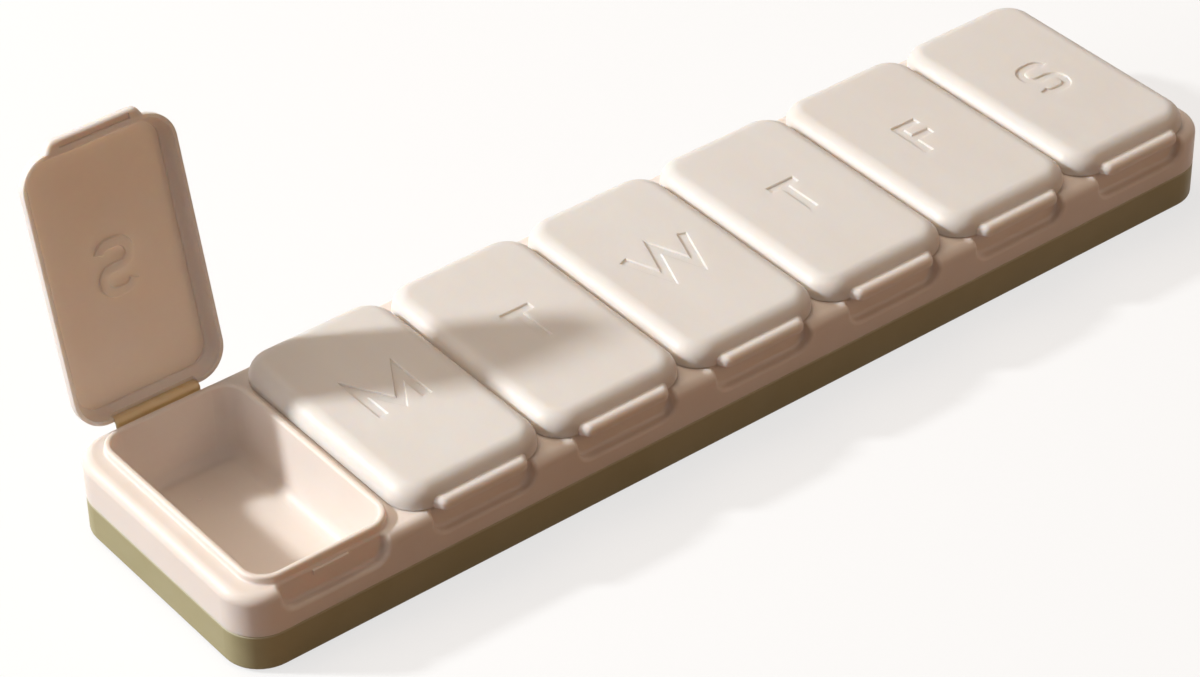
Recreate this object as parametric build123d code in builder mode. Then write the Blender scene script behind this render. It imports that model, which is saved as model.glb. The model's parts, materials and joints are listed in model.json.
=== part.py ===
import os
from math import cos, radians, sin

from build123d import *

# Weekly pill organizer: a strip of seven moulded wells with flip lids, on a lower shell.
# X runs along the strip from Sunday to Saturday, -Y is the side with the thumb tabs, +Z is up.
# The origin is the middle of the footprint, on the surface that the pads stand on.

os.makedirs("parts", exist_ok=True)

# ---- Driving dimensions, in millimetres ----

DAYS = ("sunday", "monday", "tuesday", "wednesday", "thursday", "friday", "saturday")
OPEN_DAY = "sunday"
OPEN_ANGLE = 103.0  # degrees that the open lid stands back from closed

WELL_PITCH = 30.0
END_MARGIN = 3.0  # case beyond the end well's cell
CASE_DEPTH = 53.2
CASE_CORNER_R = 7.1

PAD_PROUD = 0.4
PAD_SINK = 0.4
PAD_LENGTH = 14.0
PAD_WIDTH = 8.0
PAD_CORNER_R = 2.5
PAD_INSET_X = 14.0  # pad's middle from the end of the case
PAD_INSET_Y = 8.5  # pad's middle from the side of the case

BASE_HEIGHT = 7.2
BASE_WALL = 1.4
BASE_FLOOR = 1.2
BASE_EDGE_R = 0.7
BASE_SEAM_R = 0.35

TRAY_WALL_HEIGHT = 8.2  # from the seam up to the deck
TRAY_WALL = 2.0
TRAY_EDGE_R = 1.9
TRAY_DECK_T = 1.2
TRAY_SEAM_R = 0.2

LIP_DEPTH = 2.5  # how far the tray's lip goes down inside the base
LIP_RISE = 1.0  # how far it runs up inside the tray's wall
LIP_T = 1.0
LIP_FIT = 0.1
SNAP_LENGTH = 8.0
SNAP_HEIGHT = 0.8
SNAP_PROUD = 0.3
SNAP_SPACING = 48.0
SNAP_COUNT = 4
SNAP_FIT = 0.1

RIM_RISE = 1.4  # rim's top above the deck
RIM_T = 1.2
RIM_EDGE_R = 0.5
RIM_COVE_R = 0.35  # from the rim's outer face to the deck
WELL_FLOOR = 1.0
WELL_HANG = 0.2  # gap from the well's floor to the base
WELL_DRAFT = 1.2  # degrees
WELL_FLOOR_R = 2.4
WELL_HEEL_R = 0.9
GATE_R = 0.5
GATE_HEIGHT = 0.15
GATE_SHIFT_Y = 15.0  # from the middle of the well

LID_SIDE_GAP = 0.4  # between neighbouring lids
LID_FRONT_SETBACK = 1.6  # lid's front from the case's front
LID_BACK_SETBACK = 1.6
LID_HEIGHT = 4.0
LID_LIFT = 0.2  # lid's skirt above the deck
LID_CORNER_R = 5.8
LID_EDGE_R = 3.2
LID_SKIRT_T = 0.7
LID_TOP_T = 1.2
LID_FIT = 0.1  # between the skirt and the well's rim
LID_PANEL_INSET = 1.3  # sunk panel in the ceiling, from the skirt's inner face
LID_PANEL_DEPTH = 0.35

TAB_WIDTH = 16.8
TAB_FLARE = 1.1  # wider at each end where it meets the lid
TAB_REACH = 2.0  # beyond the lid's front
TAB_DROP = 2.2  # tab's top below the lid's top
TAB_THICKNESS = 2.3
TAB_NOSE_R = 1.1
TAB_CHIN_R = 0.7
TAB_END_R = 1.4
TAB_ROOT = 0.5  # tab inside the skirt
TAB_GROOVE_WIDTH = 13.6
TAB_GROOVE_SPAN = 1.0
TAB_GROOVE_DEPTH = 0.5

NOTCH_WIDTH = 20.8
NOTCH_DEPTH = 4.8  # down from the deck
NOTCH_CORNER_R = 2.8
NOTCH_COVE_R = 0.7
NOTCH_LIP_R = 0.7  # where the scoop runs out through the front face
NOTCH_LEDGE = 0.5  # deck left between the notch and the rim
NOTCH_WALL = 1.2

LUG_WIDTH = 7.0
LUG_HEIGHT = 0.9
LUG_PROUD = 0.4
LUG_EDGE_R = 0.15
LUG_DROP = 0.45  # lug's top below the deck

HINGE_WIDTH = 16.8
HINGE_T = 0.35
HINGE_LOOP_R = 0.9  # outer radius of the folded web
HINGE_RISE = 0.6  # straight part that stands in the skirt's cut-out
HINGE_LAND = 0.3  # flat root on the tray
HINGE_POCKET_GAP = 0.3  # at each end of the web

LETTER_HEIGHT = 10.8
LETTER_STROKE = 1.9
LETTER_DEPTH = 0.35
LETTER_DRAFT = 25.0  # degrees that its walls lean
LETTER_SHIFT_Y = -0.8  # from the middle of the lid
M_WIDTH = 11.0
M_DIP = 8.6  # middle of the M below its top
T_WIDTH = 8.2
W_WIDTH = 15.2
F_WIDTH = 6.6
F_BAR_DROP = 4.8
S_WIDTH = 7.8
S_END_ANGLE = 20.0  # degrees above level where the S starts

PICK_SLACK = 0.2  # for picking edges and faces by their place

# ---- Levels and places that follow ----

well_count = len(DAYS)
case_length = well_count * WELL_PITCH + 2 * END_MARGIN
case_front_y = -CASE_DEPTH / 2
cell_xs = [(i - (well_count - 1) / 2) * WELL_PITCH for i in range(well_count)]
cells = [Location((x, 0, 0)) for x in cell_xs]

base_bottom_z = PAD_PROUD
base_floor_z = base_bottom_z + BASE_FLOOR
seam_z = base_bottom_z + BASE_HEIGHT
deck_z = seam_z + TRAY_WALL_HEIGHT
rim_z = deck_z + RIM_RISE
well_bottom_z = base_floor_z + WELL_HANG
well_floor_z = well_bottom_z + WELL_FLOOR

lid_bottom_z = deck_z + LID_LIFT
lid_top_z = lid_bottom_z + LID_HEIGHT
lid_ceiling_z = lid_top_z - LID_TOP_T
lid_panel_z = lid_ceiling_z + LID_PANEL_DEPTH
lid_width = WELL_PITCH - LID_SIDE_GAP
lid_depth = CASE_DEPTH - LID_FRONT_SETBACK - LID_BACK_SETBACK
lid_front_y = case_front_y + LID_FRONT_SETBACK
lid_back_y = lid_front_y + lid_depth
lid_middle_y = (lid_front_y + lid_back_y) / 2

rim_inset = LID_SKIRT_T + LID_FIT
rim_width = lid_width - 2 * rim_inset
rim_depth = lid_depth - 2 * rim_inset
rim_corner_r = LID_CORNER_R - rim_inset
rim_front_y = lid_front_y + rim_inset

lip_inset = BASE_WALL + LIP_FIT
snap_z = seam_z - LIP_DEPTH / 2
notch_bottom_z = deck_z - NOTCH_DEPTH
notch_back_y = rim_front_y - NOTCH_LEDGE
lug_z = deck_z - LUG_DROP - LUG_HEIGHT / 2

hinge_y = lid_back_y + HINGE_LOOP_R
hinge_z = (deck_z + lid_bottom_z) / 2
hinge_axis = Axis((0, hinge_y, hinge_z), (1, 0, 0))
hinge_root_y = lid_back_y - HINGE_LAND
hinge_root_z = hinge_z - HINGE_LOOP_R
strip_low_z = hinge_z + HINGE_LOOP_R - HINGE_T
strip_top_z = hinge_z + HINGE_LOOP_R + HINGE_RISE

tab_top_z = lid_top_z - TAB_DROP
tab_bottom_z = tab_top_z - TAB_THICKNESS
tab_front_y = lid_front_y - TAB_REACH


def rounded_slab(width, depth, corner_r, low_z, high_z, middle_y=0):
    """An upright block with a rounded-rectangle plan, centred on X."""
    with BuildPart() as slab:
        with BuildSketch(Plane.XY.offset(low_z)):
            with Locations((0, middle_y)):
                RectangleRounded(width, depth, corner_r)
        extrude(amount=high_z - low_z)
    return slab.part


# ---- One well: a thin wall with a rounded rim, and the drafted space inside it ----

with BuildPart() as well_space:
    with BuildSketch(Plane.XY.offset(rim_z)):
        with Locations((0, lid_middle_y)):
            RectangleRounded(rim_width - 2 * RIM_T, rim_depth - 2 * RIM_T, rim_corner_r - RIM_T)
    extrude(amount=well_floor_z - rim_z, taper=WELL_DRAFT)
    fillet(well_space.faces().sort_by(Axis.Z)[0].edges(), radius=WELL_FLOOR_R)

with BuildPart() as well:
    add(rounded_slab(rim_width, rim_depth, rim_corner_r, well_bottom_z, rim_z, lid_middle_y))
    fillet(well.faces().sort_by(Axis.Z)[0].edges(), radius=WELL_HEEL_R)
    add(well_space.part, mode=Mode.SUBTRACT)
    fillet(well.faces().sort_by(Axis.Z)[-1].edges(), radius=RIM_EDGE_R)
    with Locations((0, lid_middle_y + GATE_SHIFT_Y, well_floor_z)):
        Cylinder(GATE_R, 2 * GATE_HEIGHT)

# The thumb notch is scooped out of the front face, and leaves a narrow ledge before the rim.
with BuildPart() as notch_space:
    with BuildSketch(Plane.XZ.offset(-notch_back_y)):
        with Locations((0, deck_z)):
            RectangleRounded(NOTCH_WIDTH, 2 * NOTCH_DEPTH, NOTCH_CORNER_R)
    extrude(amount=2 * (notch_back_y - case_front_y))
    fillet(notch_space.faces().sort_by(Axis.Y)[-1].edges(), radius=NOTCH_COVE_R)

with BuildPart() as catch_lug:
    with Locations((0, notch_back_y, lug_z)):
        Box(LUG_WIDTH, 2 * LUG_PROUD, LUG_HEIGHT)
    fillet(catch_lug.faces().sort_by(Axis.Y)[0].edges(), radius=LUG_EDGE_R)

# ---- Tray ----

def on_rim_foot(edge):
    """Whether an edge of the deck is one that a well's rim rises from."""
    middle = edge.position_at(0.5)
    from_cell = min(abs(middle.X - x) for x in cell_xs)
    inside_x = from_cell < rim_width / 2 + RIM_COVE_R / 2
    return inside_x and abs(middle.Y - lid_middle_y) < rim_depth / 2 + RIM_COVE_R / 2


with BuildPart() as tray:
    add(rounded_slab(case_length, CASE_DEPTH, CASE_CORNER_R, seam_z, deck_z))
    fillet(tray.faces().sort_by(Axis.Z)[-1].edges(), radius=TRAY_EDGE_R)
    fillet(tray.faces().sort_by(Axis.Z)[0].edges(), radius=TRAY_SEAM_R)
    add(rounded_slab(case_length - 2 * TRAY_WALL, CASE_DEPTH - 2 * TRAY_WALL, CASE_CORNER_R - TRAY_WALL,
                     seam_z, deck_z - TRAY_DECK_T), mode=Mode.SUBTRACT)

    with BuildSketch(Plane.XY.offset(seam_z - LIP_DEPTH)):
        for inset, mode in ((lip_inset, Mode.ADD), (lip_inset + LIP_T, Mode.SUBTRACT)):
            RectangleRounded(case_length - 2 * inset, CASE_DEPTH - 2 * inset,
                             CASE_CORNER_R - inset, mode=mode)
    extrude(amount=LIP_DEPTH + LIP_RISE)
    with Locations((0, 0, snap_z)):
        with GridLocations(SNAP_SPACING, CASE_DEPTH - 2 * lip_inset, SNAP_COUNT, 2):
            Box(SNAP_LENGTH, 2 * SNAP_PROUD, SNAP_HEIGHT)

    # Each notch has its own bed between the front wall and the well, so it doesn't break through.
    bed_y = case_front_y + TRAY_WALL / 2
    with Locations(*[(x, bed_y, notch_bottom_z - NOTCH_WALL) for x in cell_xs]):
        Box(NOTCH_WIDTH + 2 * NOTCH_WALL, rim_front_y + RIM_T / 2 - bed_y,
            NOTCH_DEPTH + NOTCH_WALL - TRAY_DECK_T / 2, align=(Align.CENTER, Align.MIN, Align.MIN))
    with Locations(*cells):
        add(notch_space.part, mode=Mode.SUBTRACT)
    front_edges = tray.faces().sort_by(Axis.Y)[0].edges()
    notch_mouths = front_edges.filter_by(
        lambda edge: notch_bottom_z - PICK_SLACK < edge.center().Z < deck_z - TRAY_EDGE_R / 2
        and abs(edge.center().X) < cell_xs[-1] + NOTCH_WIDTH / 2 + PICK_SLACK)
    fillet(notch_mouths, radius=NOTCH_LIP_R)

    # The deck is opened to the middle of each well's wall, which the well then fills.
    opening = rounded_slab(rim_width - RIM_T, rim_depth - RIM_T, rim_corner_r - RIM_T / 2,
                           well_bottom_z, lid_top_z, lid_middle_y)
    with Locations(*cells):
        add(opening, mode=Mode.SUBTRACT)
    with Locations(*cells):
        add(well.part)
    with Locations(*cells):
        add(catch_lug.part)
    rim_feet = tray.faces().filter_by(Axis.Z).filter_by(
        lambda face: abs(face.center().Z - deck_z) < PICK_SLACK).edges()
    fillet(rim_feet.filter_by(on_rim_foot), radius=RIM_COVE_R)

    with Locations(*[(x, hinge_root_y, hinge_root_z) for x in cell_xs]):
        Box(HINGE_WIDTH + 2 * HINGE_POCKET_GAP, CASE_DEPTH, LID_HEIGHT,
            align=(Align.CENTER, Align.MIN, Align.MIN), mode=Mode.SUBTRACT)

tray.part.label = "tray"
export_step(tray.part, "parts/tray.step")

# ---- Base shell and its anti-slip pads ----

pad_x = case_length / 2 - PAD_INSET_X
pad_y = CASE_DEPTH / 2 - PAD_INSET_Y
PADS = {
    "pad_front_left": (-pad_x, -pad_y),
    "pad_front_right": (pad_x, -pad_y),
    "pad_back_left": (-pad_x, pad_y),
    "pad_back_right": (pad_x, pad_y),
    "pad_centre": (0, 0),
}

with BuildPart() as base_shell:
    add(rounded_slab(case_length, CASE_DEPTH, CASE_CORNER_R, base_bottom_z, seam_z))
    fillet(base_shell.faces().sort_by(Axis.Z)[0].edges(), radius=BASE_EDGE_R)
    fillet(base_shell.faces().sort_by(Axis.Z)[-1].edges(), radius=BASE_SEAM_R)
    add(rounded_slab(case_length - 2 * BASE_WALL, CASE_DEPTH - 2 * BASE_WALL, CASE_CORNER_R - BASE_WALL,
                     base_floor_z, seam_z), mode=Mode.SUBTRACT)
    groove_reach = 2 * (SNAP_PROUD + SNAP_FIT)
    with Locations((0, 0, snap_z)):
        with GridLocations(SNAP_SPACING, CASE_DEPTH - 2 * lip_inset, SNAP_COUNT, 2):
            Box(SNAP_LENGTH + 2 * SNAP_FIT, groove_reach, SNAP_HEIGHT + 2 * SNAP_FIT, mode=Mode.SUBTRACT)
    with BuildSketch(Plane.XY.offset(base_bottom_z)):
        with Locations(*PADS.values()):
            RectangleRounded(PAD_LENGTH, PAD_WIDTH, PAD_CORNER_R)
    extrude(amount=PAD_SINK, mode=Mode.SUBTRACT)

base_shell.part.label = "base_shell"
export_step(base_shell.part, "parts/base_shell.step")

for pad_name, (x, y) in PADS.items():
    with BuildPart() as pad:
        with BuildSketch():
            with Locations((x, y)):
                RectangleRounded(PAD_LENGTH, PAD_WIDTH, PAD_CORNER_R)
        extrude(amount=PAD_PROUD + PAD_SINK)
        fillet(pad.faces().sort_by(Axis.Z)[0].edges(), radius=PAD_PROUD / 2)
    pad.part.label = pad_name
    export_step(pad.part, f"parts/{pad_name}.step")


# ---- Lids ----

def letter_strokes(initial):
    """Middle lines of a plain capital's strokes, centred on the letter's place."""
    half = (LETTER_HEIGHT - LETTER_STROKE) / 2
    m, t, w, f = [(width - LETTER_STROKE) / 2 for width in (M_WIDTH, T_WIDTH, W_WIDTH, F_WIDTH)]
    bar_y = LETTER_HEIGHT / 2 - F_BAR_DROP
    dip_y = LETTER_HEIGHT / 2 - M_DIP
    return {
        "M": [[(-m, -half), (-m, half), (0, dip_y), (m, half), (m, -half)]],
        "T": [[(-t, half), (t, half)], [(0, half), (0, -half)]],
        "W": [[(-w, half), (-w / 2, -half), (0, half), (w / 2, -half), (w, half)]],
        "F": [[(f, half), (-f, half), (-f, -half)], [(-f, bar_y), (f, bar_y)]],
    }[initial]


def letter(initial):
    """A day's initial as a flat shape of one stroke width."""
    with BuildSketch() as shape:
        with Locations((0, lid_middle_y + LETTER_SHIFT_Y)):
            if initial == "S":
                r = (LETTER_HEIGHT - LETTER_STROKE) / 4
                x = (S_WIDTH - LETTER_STROKE) / 2 - r
                end_turn = 90 - S_END_ANGLE
                with BuildLine():
                    CenterArc((x, r), r, S_END_ANGLE, end_turn)
                    Line((x, 2 * r), (-x, 2 * r))
                    CenterArc((-x, r), r, 90, 180)
                    Line((-x, 0), (x, 0))
                    CenterArc((x, -r), r, 90, -180)
                    Line((x, -2 * r), (-x, -2 * r))
                    CenterArc((-x, -r), r, -90, -end_turn)
                trace(line_width=LETTER_STROKE)
            else:
                for points in letter_strokes(initial):
                    with BuildLine():
                        Polyline(*points)
                    trace(line_width=LETTER_STROKE)
    return shape.sketch


with BuildPart() as thumb_tab:
    # A ledge at the lid's front, wider where it meets the lid, with a shallow groove underneath.
    with BuildSketch(Plane.XY.offset(tab_bottom_z)) as plan:
        half = TAB_WIDTH / 2
        root_half = half + TAB_FLARE
        root_y = lid_front_y + TAB_ROOT
        with BuildLine():
            Polyline((-root_half, root_y), (-root_half, lid_front_y), (-half, tab_front_y),
                     (half, tab_front_y), (root_half, lid_front_y), (root_half, root_y), close=True)
        make_face()
        fillet(plan.vertices().group_by(Axis.Y)[0], radius=TAB_END_R)
    extrude(amount=TAB_THICKNESS)
    underside, *_, top = thumb_tab.faces().filter_by(Axis.Z).sort_by(Axis.Z)
    for face, radius in ((top, TAB_NOSE_R), (underside, TAB_CHIN_R)):
        fillet(face.edges().filter_by(lambda edge: edge.center().Y < lid_front_y), radius=radius)
    with Locations((0, lid_front_y, lid_bottom_z)):
        Box(lid_width, TAB_ROOT, LID_HEIGHT, align=(Align.CENTER, Align.MIN, Align.MAX), mode=Mode.SUBTRACT)
    with Locations((0, (tab_front_y + lid_front_y) / 2, tab_bottom_z)):
        Box(TAB_GROOVE_WIDTH, TAB_GROOVE_SPAN, 2 * TAB_GROOVE_DEPTH, mode=Mode.SUBTRACT)

with BuildPart() as lid_space:
    add(rounded_slab(lid_width - 2 * LID_SKIRT_T, lid_depth - 2 * LID_SKIRT_T, LID_CORNER_R - LID_SKIRT_T,
                     lid_bottom_z, lid_ceiling_z, lid_middle_y))
    fillet(lid_space.faces().sort_by(Axis.Z)[-1].edges(), radius=LID_EDGE_R - LID_SKIRT_T)
    panel = 2 * (LID_SKIRT_T + LID_PANEL_INSET)
    add(rounded_slab(lid_width - panel, lid_depth - panel, LID_CORNER_R - panel / 2,
                     lid_bottom_z, lid_panel_z, lid_middle_y))


def closed_lid(initial):
    """A lid at X 0, lying shut on the deck."""
    with BuildPart() as lid:
        add(rounded_slab(lid_width, lid_depth, LID_CORNER_R, lid_bottom_z, lid_top_z, lid_middle_y))
        fillet(lid.faces().sort_by(Axis.Z)[-1].edges(), radius=LID_EDGE_R)
        add(thumb_tab.part)
        add(lid_space.part, mode=Mode.SUBTRACT)
        with BuildSketch(Plane.XY.offset(lid_top_z)):
            add(letter(initial))
        extrude(amount=-LETTER_DEPTH, taper=LETTER_DRAFT, mode=Mode.SUBTRACT)
        with BuildSketch(Plane.XY.offset(lid_panel_z)):
            add(letter(initial))
        extrude(amount=-LETTER_DEPTH, taper=LETTER_DRAFT)
        with Locations((0, lid_back_y, strip_top_z)):
            Box(HINGE_WIDTH, 2 * (LID_SKIRT_T + HINGE_T), LID_HEIGHT,
                align=(Align.CENTER, Align.CENTER, Align.MAX), mode=Mode.SUBTRACT)
    return lid.part


# ---- Living hinges ----

def turned(y, z):
    """A point of the lid's side view, turned with the open lid about the hinge axis."""
    angle = radians(OPEN_ANGLE)
    dy = y - hinge_y
    dz = z - hinge_z
    return (hinge_y + dy * cos(angle) + dz * sin(angle), hinge_z - dy * sin(angle) + dz * cos(angle))


def hinge_web(is_open):
    """The flexing strip from the tray to the lid: a folded loop, or a rising curve when open."""
    middle = HINGE_T / 2
    root = (hinge_root_y, hinge_root_z + middle)
    knee = (lid_back_y, hinge_root_z + middle)
    strip_y = lid_back_y - middle
    with BuildPart() as web:
        with BuildSketch(Plane.YZ.offset(-HINGE_WIDTH / 2)):
            with BuildLine():
                Line(root, knee)
                if is_open:
                    low = turned(strip_y, strip_low_z)
                    top = turned(strip_y, strip_top_z)
                    Spline(knee, low, tangents=((1, 0), (top[0] - low[0], top[1] - low[1])))
                    Line(low, top)
                else:
                    CenterArc((lid_back_y, hinge_z), HINGE_LOOP_R - middle, -90, 180)
            trace(line_width=HINGE_T)
            if not is_open:
                with Locations((strip_y, strip_low_z)):
                    Rectangle(HINGE_T, strip_top_z - strip_low_z, align=(Align.CENTER, Align.MIN))
        extrude(amount=HINGE_WIDTH)
    return web.part


for day, x in zip(DAYS, cell_xs):
    is_open = day == OPEN_DAY
    lid = closed_lid(day[0].upper())
    if is_open:
        lid = lid.rotate(hinge_axis, -OPEN_ANGLE)
    lid = lid.moved(Location((x, 0, 0)))
    lid.label = f"lid_{day}"
    export_step(lid, f"parts/{lid.label}.step")

    web = hinge_web(is_open).moved(Location((x, 0, 0)))
    web.label = f"hinge_{day}"
    export_step(web, f"parts/{web.label}.step")
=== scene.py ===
import json
from math import cos, radians, sin

import bmesh
import bpy
from mathutils import Matrix, Vector


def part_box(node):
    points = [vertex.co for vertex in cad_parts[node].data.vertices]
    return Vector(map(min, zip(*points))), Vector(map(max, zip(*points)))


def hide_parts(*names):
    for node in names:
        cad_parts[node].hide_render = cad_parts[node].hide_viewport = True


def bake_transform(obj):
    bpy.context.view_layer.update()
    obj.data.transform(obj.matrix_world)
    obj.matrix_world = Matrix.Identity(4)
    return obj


# Weekly pill organizer: a strip of seven moulded wells with flip lids, on an olive lower shell.
# Everything is in metres, in the part's own frame: +X along the strip, -Y the side with the thumb tabs.

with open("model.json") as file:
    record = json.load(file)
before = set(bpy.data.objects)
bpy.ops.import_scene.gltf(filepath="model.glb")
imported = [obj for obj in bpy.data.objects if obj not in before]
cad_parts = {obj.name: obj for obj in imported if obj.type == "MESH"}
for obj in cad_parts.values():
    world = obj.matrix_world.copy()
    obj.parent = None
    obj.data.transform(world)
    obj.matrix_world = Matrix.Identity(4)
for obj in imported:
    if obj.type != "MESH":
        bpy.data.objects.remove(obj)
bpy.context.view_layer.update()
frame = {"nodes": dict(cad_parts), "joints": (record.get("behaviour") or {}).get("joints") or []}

MM = 0.001
DAYS = ("sunday", "monday", "tuesday", "wednesday", "thursday", "friday", "saturday")
OPEN_DAY = "sunday"
OPEN_ANGLE = 103.0  # degrees that the open lid stands back from closed
SEAM_Z = 7.6 * MM  # where the tray sits on the base

# ---- Camera ----

LENS = 118.3
SENSOR = 36.0  # mm wide
CAMERA_PLACE = Vector((-0.3497, -0.4356, 0.4286))
CAMERA_AIM = Vector((-0.0076, 0.0101, 0.0))
CAMERA_ROLL = -1.09  # degrees

# ---- Light: a cool key from behind on the left, warm fills, and one cool fill from the left ----

KEY_TRAVEL = Vector((1.3, -0.98, -1.0)).normalized()  # the way that the key light's rays go
KEY_DISTANCE = 1.6
KEY_SIZE = 0.13
KEY_POWER = 23.5
SOFT_BOX_PLACE = Vector((-0.3, 0.7, 1.5))
SOFT_BOX_SIZE = 1.2
SOFT_BOX_POWER = 11.5
FRONT_FILL_PLACE = Vector((0.7, -1.1, 0.75))
FRONT_FILL_SIZE = 0.9
FRONT_FILL_POWER = 3.0
SIDE_FILL_PLACE = Vector((-1.5, 0.3, 0.5))
SIDE_FILL_SIZE = 0.8
SIDE_FILL_POWER = 5.0
WORLD_STRENGTH = 0.10
FLOOR_SIZE = 6.0
FLOOR_WHITE = 0.72  # how far the seen floor goes to plain white; the rest keeps the shadow

# ---- Hinge web: a thin strip from the tray to the lid, seen from the side in Y and Z ----

WEB_THICKNESS = 0.35 * MM
WEB_STEPS = 14  # faces round each arc
WEB_COLUMNS = 24  # faces across the strip
LOOP_R = 0.9 * MM - WEB_THICKNESS / 2
OPEN_R = 0.76 * MM  # both arcs of the open web's S
OPEN_TURN = 96.0  # degrees that its first arc turns up
WELD = 0.01 * MM  # doubles closer than this are merged

# ---- Finishes ----

PP_IOR = 1.49  # polypropylene
FLOW_MARK = 14 * MM  # spacing of the melt's faint flow marks
FLOW_STRETCH = (1.0, 0.35, 1.0)  # they run with the fill, across the strip
FLOW_SHARE = 0.7  # how far the second tone comes in
SHEEN_PATCH = 5 * MM  # spacing of duller and glossier patches
SHEEN_LOW = 0.04
SHEEN_HIGH = 0.05
RELIEF_STRENGTH = 0.12
RELIEF_DEPTH = 0.02 * MM
# A thin pale band painted along the top edge of a part: a painted highlight for the light that the rounded
# seam edge catches.
HIGHLIGHT_BAND_START = 0.45 * MM  # the painted highlight band's lower edge, below the rim
HIGHLIGHT_BAND_END = 0.15 * MM  # and where it is palest
HIGHLIGHT_BAND_SHARE = 0.6
STRAIN_LINE = 0.5 * MM  # spacing of the lines that folding draws in the web
STRAIN_STRETCH = (0.15, 1.0, 1.0)  # they run along the fold
PEBBLE = 0.3 * MM  # the pads' pebbled texture


# ---- Materials ----

def srgb(code):
    """A linear colour with alpha, from an sRGB hex value."""
    channels = [int(code[i:i + 2], 16) / 255 for i in (0, 2, 4)]
    linear = [c / 12.92 if c <= 0.04045 else ((c + 0.055) / 1.055) ** 2.4 for c in channels]
    return (*linear, 1.0)


def add_node(tree, kind, settings=None, **links):
    """Adds a node. Settings are its attributes or its inputs by name; links join sockets to its inputs."""
    node = tree.nodes.new(kind)
    for name, value in (settings or {}).items():
        if hasattr(node, name):
            setattr(node, name, value)
        else:
            node.inputs[name].default_value = value
    for name, socket in links.items():
        tree.links.new(socket, node.inputs[name.replace("_", " ")])
    return node


def new_material(name):
    material = bpy.data.materials.new(name)
    material.use_nodes = True
    tree = material.node_tree
    tree.nodes.clear()
    return material, tree


def moulded_plastic(name, colour, shade, roughness, depth, glow, shine=0.3, grain=0.35, edge=0.12,
                    highlight_band_z=None):
    """Injection-moulded polypropylene: waxy and satin, with light that goes a little way in.
    Colour and shade are the two tones of its faint flow marks; depth is how far red light goes, in mm;
    grain is the spark-eroded texture's spacing in mm, drawn coarser than the real 0.05 mm so that it shows;
    edge is the softening of its moulded edges, in mm; the last argument is the height of a rim, under which
    a thin pale band is painted as a highlight on the rounded edge."""
    material, tree = new_material(name)
    place = add_node(tree, "ShaderNodeTexCoord").outputs["Object"]

    flow_place = add_node(tree, "ShaderNodeMapping", {"Scale": FLOW_STRETCH}, Vector=place).outputs["Vector"]
    flow = add_node(tree, "ShaderNodeTexNoise", {"Scale": 1 / FLOW_MARK, "Detail": 3.0, "Roughness": 0.55},
                    Vector=flow_place)
    flow_share = add_node(tree, "ShaderNodeMapRange",
                          {"From Min": 0.35, "From Max": 0.75, "To Max": FLOW_SHARE},
                          Value=flow.outputs["Fac"])
    tones = add_node(tree, "ShaderNodeMixRGB", {"Color1": srgb(colour), "Color2": srgb(shade)},
                     Fac=flow_share.outputs["Result"])

    # Painted highlight: a pale colour mixed in over a thin band just under the rim.
    if highlight_band_z is not None:
        height = add_node(tree, "ShaderNodeSeparateXYZ", Vector=place).outputs["Z"]
        painted_highlight = add_node(tree, "ShaderNodeMapRange",
                        {"From Min": highlight_band_z - HIGHLIGHT_BAND_START, "From Max": highlight_band_z - HIGHLIGHT_BAND_END,
                         "To Max": HIGHLIGHT_BAND_SHARE}, Value=height)
        tones = add_node(tree, "ShaderNodeMixRGB", {"Color2": srgb("cfcbb6")},
                         Fac=painted_highlight.outputs["Result"], Color1=tones.outputs["Color"])

    patches = add_node(tree, "ShaderNodeTexNoise", {"Scale": 1 / SHEEN_PATCH, "Detail": 4.0}, Vector=place)
    gloss = add_node(tree, "ShaderNodeMapRange",
                     {"From Min": 0.3, "From Max": 0.7,
                      "To Min": roughness - SHEEN_LOW, "To Max": roughness + SHEEN_HIGH},
                     Value=patches.outputs["Fac"])

    texture = add_node(tree, "ShaderNodeTexNoise", {"Scale": 1 / (grain * MM), "Detail": 2.0}, Vector=place)
    soft_edge = add_node(tree, "ShaderNodeBevel", {"samples": 6, "Radius": edge * MM})
    relief = add_node(tree, "ShaderNodeBump", {"Strength": RELIEF_STRENGTH, "Distance": RELIEF_DEPTH},
                      Height=texture.outputs["Fac"], Normal=soft_edge.outputs["Normal"])

    shader = add_node(tree, "ShaderNodeBsdfPrincipled",
                      {"IOR": PP_IOR, "Specular IOR Level": shine, "Subsurface Weight": glow,
                       "Subsurface Scale": depth * MM, "Subsurface Radius": (1.0, 0.78, 0.6)},
                      Base_Color=tones.outputs["Color"], Roughness=gloss.outputs["Result"],
                      Normal=relief.outputs["Normal"])
    add_node(tree, "ShaderNodeOutputMaterial", Surface=shader.outputs["BSDF"])
    return material


def web_plastic():
    """The same polypropylene, 0.35 mm thick and stretched where it folds: clearer and more golden."""
    material, tree = new_material("folded_polypropylene")
    place = add_node(tree, "ShaderNodeTexCoord").outputs["Object"]
    strain_place = add_node(tree, "ShaderNodeMapping", {"Scale": STRAIN_STRETCH}, Vector=place)
    strain = add_node(tree, "ShaderNodeTexNoise", {"Scale": 1 / STRAIN_LINE, "Detail": 3.0},
                      Vector=strain_place.outputs["Vector"])
    tones = add_node(tree, "ShaderNodeMixRGB", {"Color1": srgb("f4dfb8"), "Color2": srgb("ebcd98")},
                     Fac=strain.outputs["Fac"])
    shader = add_node(tree, "ShaderNodeBsdfPrincipled",
                      {"IOR": PP_IOR, "Roughness": 0.34, "Transmission Weight": 0.15,
                       "Subsurface Weight": 0.5, "Subsurface Scale": 1.2 * MM,
                       "Subsurface Radius": (1.0, 0.7, 0.35)},
                      Base_Color=tones.outputs["Color"])
    add_node(tree, "ShaderNodeOutputMaterial", Surface=shader.outputs["BSDF"])
    return material


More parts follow.
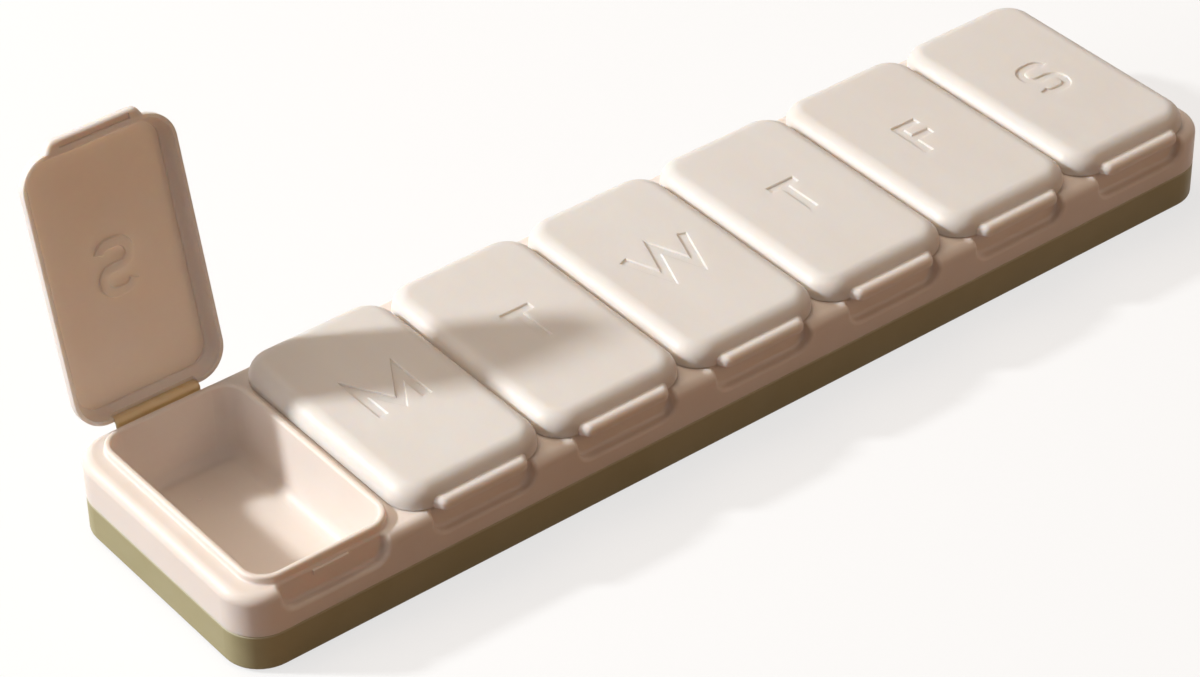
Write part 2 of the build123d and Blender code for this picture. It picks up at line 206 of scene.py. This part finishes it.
def pad_rubber():
    """Thermoplastic elastomer, dull and finely pebbled."""
    material, tree = new_material("elastomer_pad")
    place = add_node(tree, "ShaderNodeTexCoord").outputs["Object"]
    pebble = add_node(tree, "ShaderNodeTexVoronoi", {"Scale": 1 / PEBBLE}, Vector=place)
    relief = add_node(tree, "ShaderNodeBump", {"Strength": 0.3, "Distance": 0.05 * MM},
                      Height=pebble.outputs["Distance"])
    tones = add_node(tree, "ShaderNodeMixRGB", {"Color1": srgb("66624f"), "Color2": srgb("57533f")},
                     Fac=pebble.outputs["Distance"])
    shader = add_node(tree, "ShaderNodeBsdfPrincipled", {"IOR": 1.5, "Roughness": 0.75},
                      Base_Color=tones.outputs["Color"], Normal=relief.outputs["Normal"])
    add_node(tree, "ShaderNodeOutputMaterial", Surface=shader.outputs["BSDF"])
    return material


def seen_rays(tree):
    """1 for rays that show a thing itself, straight, mirrored or through the web, and 0 for the rest."""
    rays = add_node(tree, "ShaderNodeLightPath")
    share = rays.outputs["Is Camera Ray"]
    for ray in ("Is Glossy Ray", "Is Transmission Ray"):
        either = add_node(tree, "ShaderNodeMath", {"operation": "MAXIMUM"})
        tree.links.new(share, either.inputs[0])
        tree.links.new(rays.outputs[ray], either.inputs[1])
        share = either.outputs["Value"]
    return share


def studio_floor():
    """Painted board. It throws a warm light back at the walls, and shows nearly white, with the shadow."""
    material, tree = new_material("studio_board")
    seen = seen_rays(tree)
    paint = add_node(tree, "ShaderNodeMixRGB", {"Color1": srgb("8a6648"), "Color2": srgb("fbfaf9")},
                     Fac=seen)
    board = add_node(tree, "ShaderNodeBsdfDiffuse", Color=paint.outputs["Color"])
    white = add_node(tree, "ShaderNodeEmission", {"Color": srgb("ffffff")})
    share = add_node(tree, "ShaderNodeMath", {"operation": "MULTIPLY"})
    tree.links.new(seen, share.inputs[0])
    share.inputs[1].default_value = FLOOR_WHITE
    mix = add_node(tree, "ShaderNodeMixShader", Fac=share.outputs["Value"])
    tree.links.new(board.outputs["BSDF"], mix.inputs[1])
    tree.links.new(white.outputs["Emission"], mix.inputs[2])
    add_node(tree, "ShaderNodeOutputMaterial", Surface=mix.outputs["Shader"])
    return material


BEIGE_TRAY = moulded_plastic("beige_polypropylene_tray", "ebe1da", "e5d9cf", 0.42, 1.4, 0.5)
BEIGE_LID = moulded_plastic("beige_polypropylene_lid", "eae2dd", "e4dad3", 0.40, 1.9, 0.8)
# The olive shell carries a painted highlight: a pale band just under the seam.
OLIVE_SHELL = moulded_plastic("olive_polypropylene", "aaa27e", "9f9770", 0.46, 0.5, 0.15, shine=0.15,
                              highlight_band_z=SEAM_Z)
WEB = web_plastic()
RUBBER = pad_rubber()


def dress(node, material):
    """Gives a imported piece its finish."""
    mesh = frame["nodes"][node].data
    mesh.materials.clear()
    mesh.materials.append(material)


dress("tray", BEIGE_TRAY)
dress("base_shell", OLIVE_SHELL)
for day in DAYS:
    dress("lid_" + day, BEIGE_LID)
for pad in ("front_left", "front_right", "back_left", "back_right", "centre"):
    dress("pad_" + pad, RUBBER)


# ---- Living hinges ----

def line_of(edges):
    """The vertices of a line of edges across the web, from left to right."""
    return sorted({vert for edge in edges for vert in edge.verts}, key=lambda vert: vert.co.x)


def hinge_web(day):
    """The strip between the tray's back edge and the lid, swept as a sheet and then given its thickness."""
    low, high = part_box("hinge_" + day)
    hinge = next(joint for joint in frame["joints"] if joint["child"] == "lid_" + day)
    _, axis_y, axis_z = hinge["pos_m"]
    is_open = day == OPEN_DAY
    root = Vector((low.x, low.y, low.z + WEB_THICKNESS / 2))
    knee_y = axis_y - (LOOP_R + WEB_THICKNESS / 2)

    bm = bmesh.new()
    ends = [bm.verts.new(root), bm.verts.new((high.x, root.y, root.z))]
    bmesh.ops.subdivide_edges(bm, edges=[bm.edges.new(ends)], cuts=WEB_COLUMNS - 1)
    edges = list(bm.edges)

    def onward(step):
        """Draws the web's last line of edges out by a step."""
        out = bmesh.ops.extrude_edge_only(bm, edges=edges)["geom"]
        bmesh.ops.translate(bm, verts=[v for v in out if isinstance(v, bmesh.types.BMVert)], vec=step)
        return [e for e in out if isinstance(e, bmesh.types.BMEdge)]

    def around(centre_y, centre_z, turn):
        """Sweeps the last line round an axis along X, by a turn in degrees."""
        out = bmesh.ops.spin(bm, geom=edges + line_of(edges), cent=(0, centre_y, centre_z), axis=(1, 0, 0),
                             angle=radians(turn), steps=WEB_STEPS)["geom_last"]
        return [e for e in out if isinstance(e, bmesh.types.BMEdge)]

    edges = onward((0, knee_y - root.y, 0))
    if is_open:
        edges = around(knee_y, root.z + OPEN_R, OPEN_TURN)
        at = line_of(edges)[0].co
        down_turn = OPEN_TURN + OPEN_ANGLE - 90
        turned = radians(OPEN_TURN)
        edges = around(at.y + OPEN_R * sin(turned), at.z - OPEN_R * cos(turned), -down_turn)
        at = line_of(edges)[0].co
        heading = radians(90 - OPEN_ANGLE)
        reach = (high.y - at.y) / cos(heading)
        edges = onward((0, reach * cos(heading), reach * sin(heading)))
    else:
        edges = around(knee_y, axis_z, 180)
        edges = onward((0, 0, high.z - line_of(edges)[0].co.z))
    bmesh.ops.remove_doubles(bm, verts=bm.verts, dist=WELD)
    bmesh.ops.recalc_face_normals(bm, faces=bm.faces)

    mesh = bpy.data.meshes.new("hinge_web_" + day)
    bm.to_mesh(mesh)
    bm.free()
    mesh.materials.append(WEB)
    mesh.shade_smooth()
    web = bpy.data.objects.new("hinge_web_" + day, mesh)
    bpy.context.scene.collection.objects.link(web)
    thicken = web.modifiers.new("thickness", "SOLIDIFY")
    thicken.thickness = WEB_THICKNESS
    thicken.offset = 0
    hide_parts("hinge_" + day)
    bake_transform(web)


for day in DAYS:
    hinge_web(day)

# ---- Floor, light and camera ----

floor_mesh = bpy.data.meshes.new("floor")
floor_bm = bmesh.new()
bmesh.ops.create_grid(floor_bm, x_segments=1, y_segments=1, size=FLOOR_SIZE / 2)
floor_bm.to_mesh(floor_mesh)
floor_bm.free()
floor_mesh.materials.append(studio_floor())
floor = bpy.data.objects.new("floor", floor_mesh)
bpy.context.scene.collection.objects.link(floor)

world = bpy.data.worlds.new("studio")
bpy.context.scene.world = world
world.use_nodes = True
sky = world.node_tree
sky.nodes.clear()
fill = add_node(sky, "ShaderNodeBackground", {"Color": srgb("ffefe2"), "Strength": WORLD_STRENGTH})
backdrop = add_node(sky, "ShaderNodeBackground", {"Color": srgb("ffffff"), "Strength": 1.0})
both = add_node(sky, "ShaderNodeMixShader", Fac=seen_rays(sky))
sky.links.new(fill.outputs["Background"], both.inputs[1])
sky.links.new(backdrop.outputs["Background"], both.inputs[2])
add_node(sky, "ShaderNodeOutputWorld", Surface=both.outputs["Shader"])


def area_light(name, shape, size, power, place, colour):
    """An area light that faces the origin."""
    data = bpy.data.lights.new(name, "AREA")
    data.shape = shape
    data.size = size
    data.energy = power
    data.color = srgb(colour)[:3]
    light = bpy.data.objects.new(name, data)
    light.location = place
    light.rotation_euler = (-place).to_track_quat("-Z", "Y").to_euler()
    bpy.context.scene.collection.objects.link(light)


area_light("key", "DISK", KEY_SIZE, KEY_POWER, -KEY_TRAVEL * KEY_DISTANCE, "f7fcff")
area_light("soft_box", "SQUARE", SOFT_BOX_SIZE, SOFT_BOX_POWER, SOFT_BOX_PLACE, "ffe9d1")
area_light("front_fill", "SQUARE", FRONT_FILL_SIZE, FRONT_FILL_POWER, FRONT_FILL_PLACE, "ffcfa2")
area_light("side_fill", "SQUARE", SIDE_FILL_SIZE, SIDE_FILL_POWER, SIDE_FILL_PLACE, "f9fcff")

camera_data = bpy.data.cameras.new("camera")
camera_data.lens = LENS
camera_data.sensor_width = SENSOR
camera = bpy.data.objects.new("camera", camera_data)
camera.location = CAMERA_PLACE
look = (CAMERA_AIM - CAMERA_PLACE).to_track_quat("-Z", "Y").to_matrix()
camera.rotation_euler = (look @ Matrix.Rotation(radians(CAMERA_ROLL), 3, "Z")).to_euler()
bpy.context.scene.collection.objects.link(camera)
bpy.context.scene.camera = camera

scene = bpy.context.scene
scene.view_settings.view_transform = "Standard"
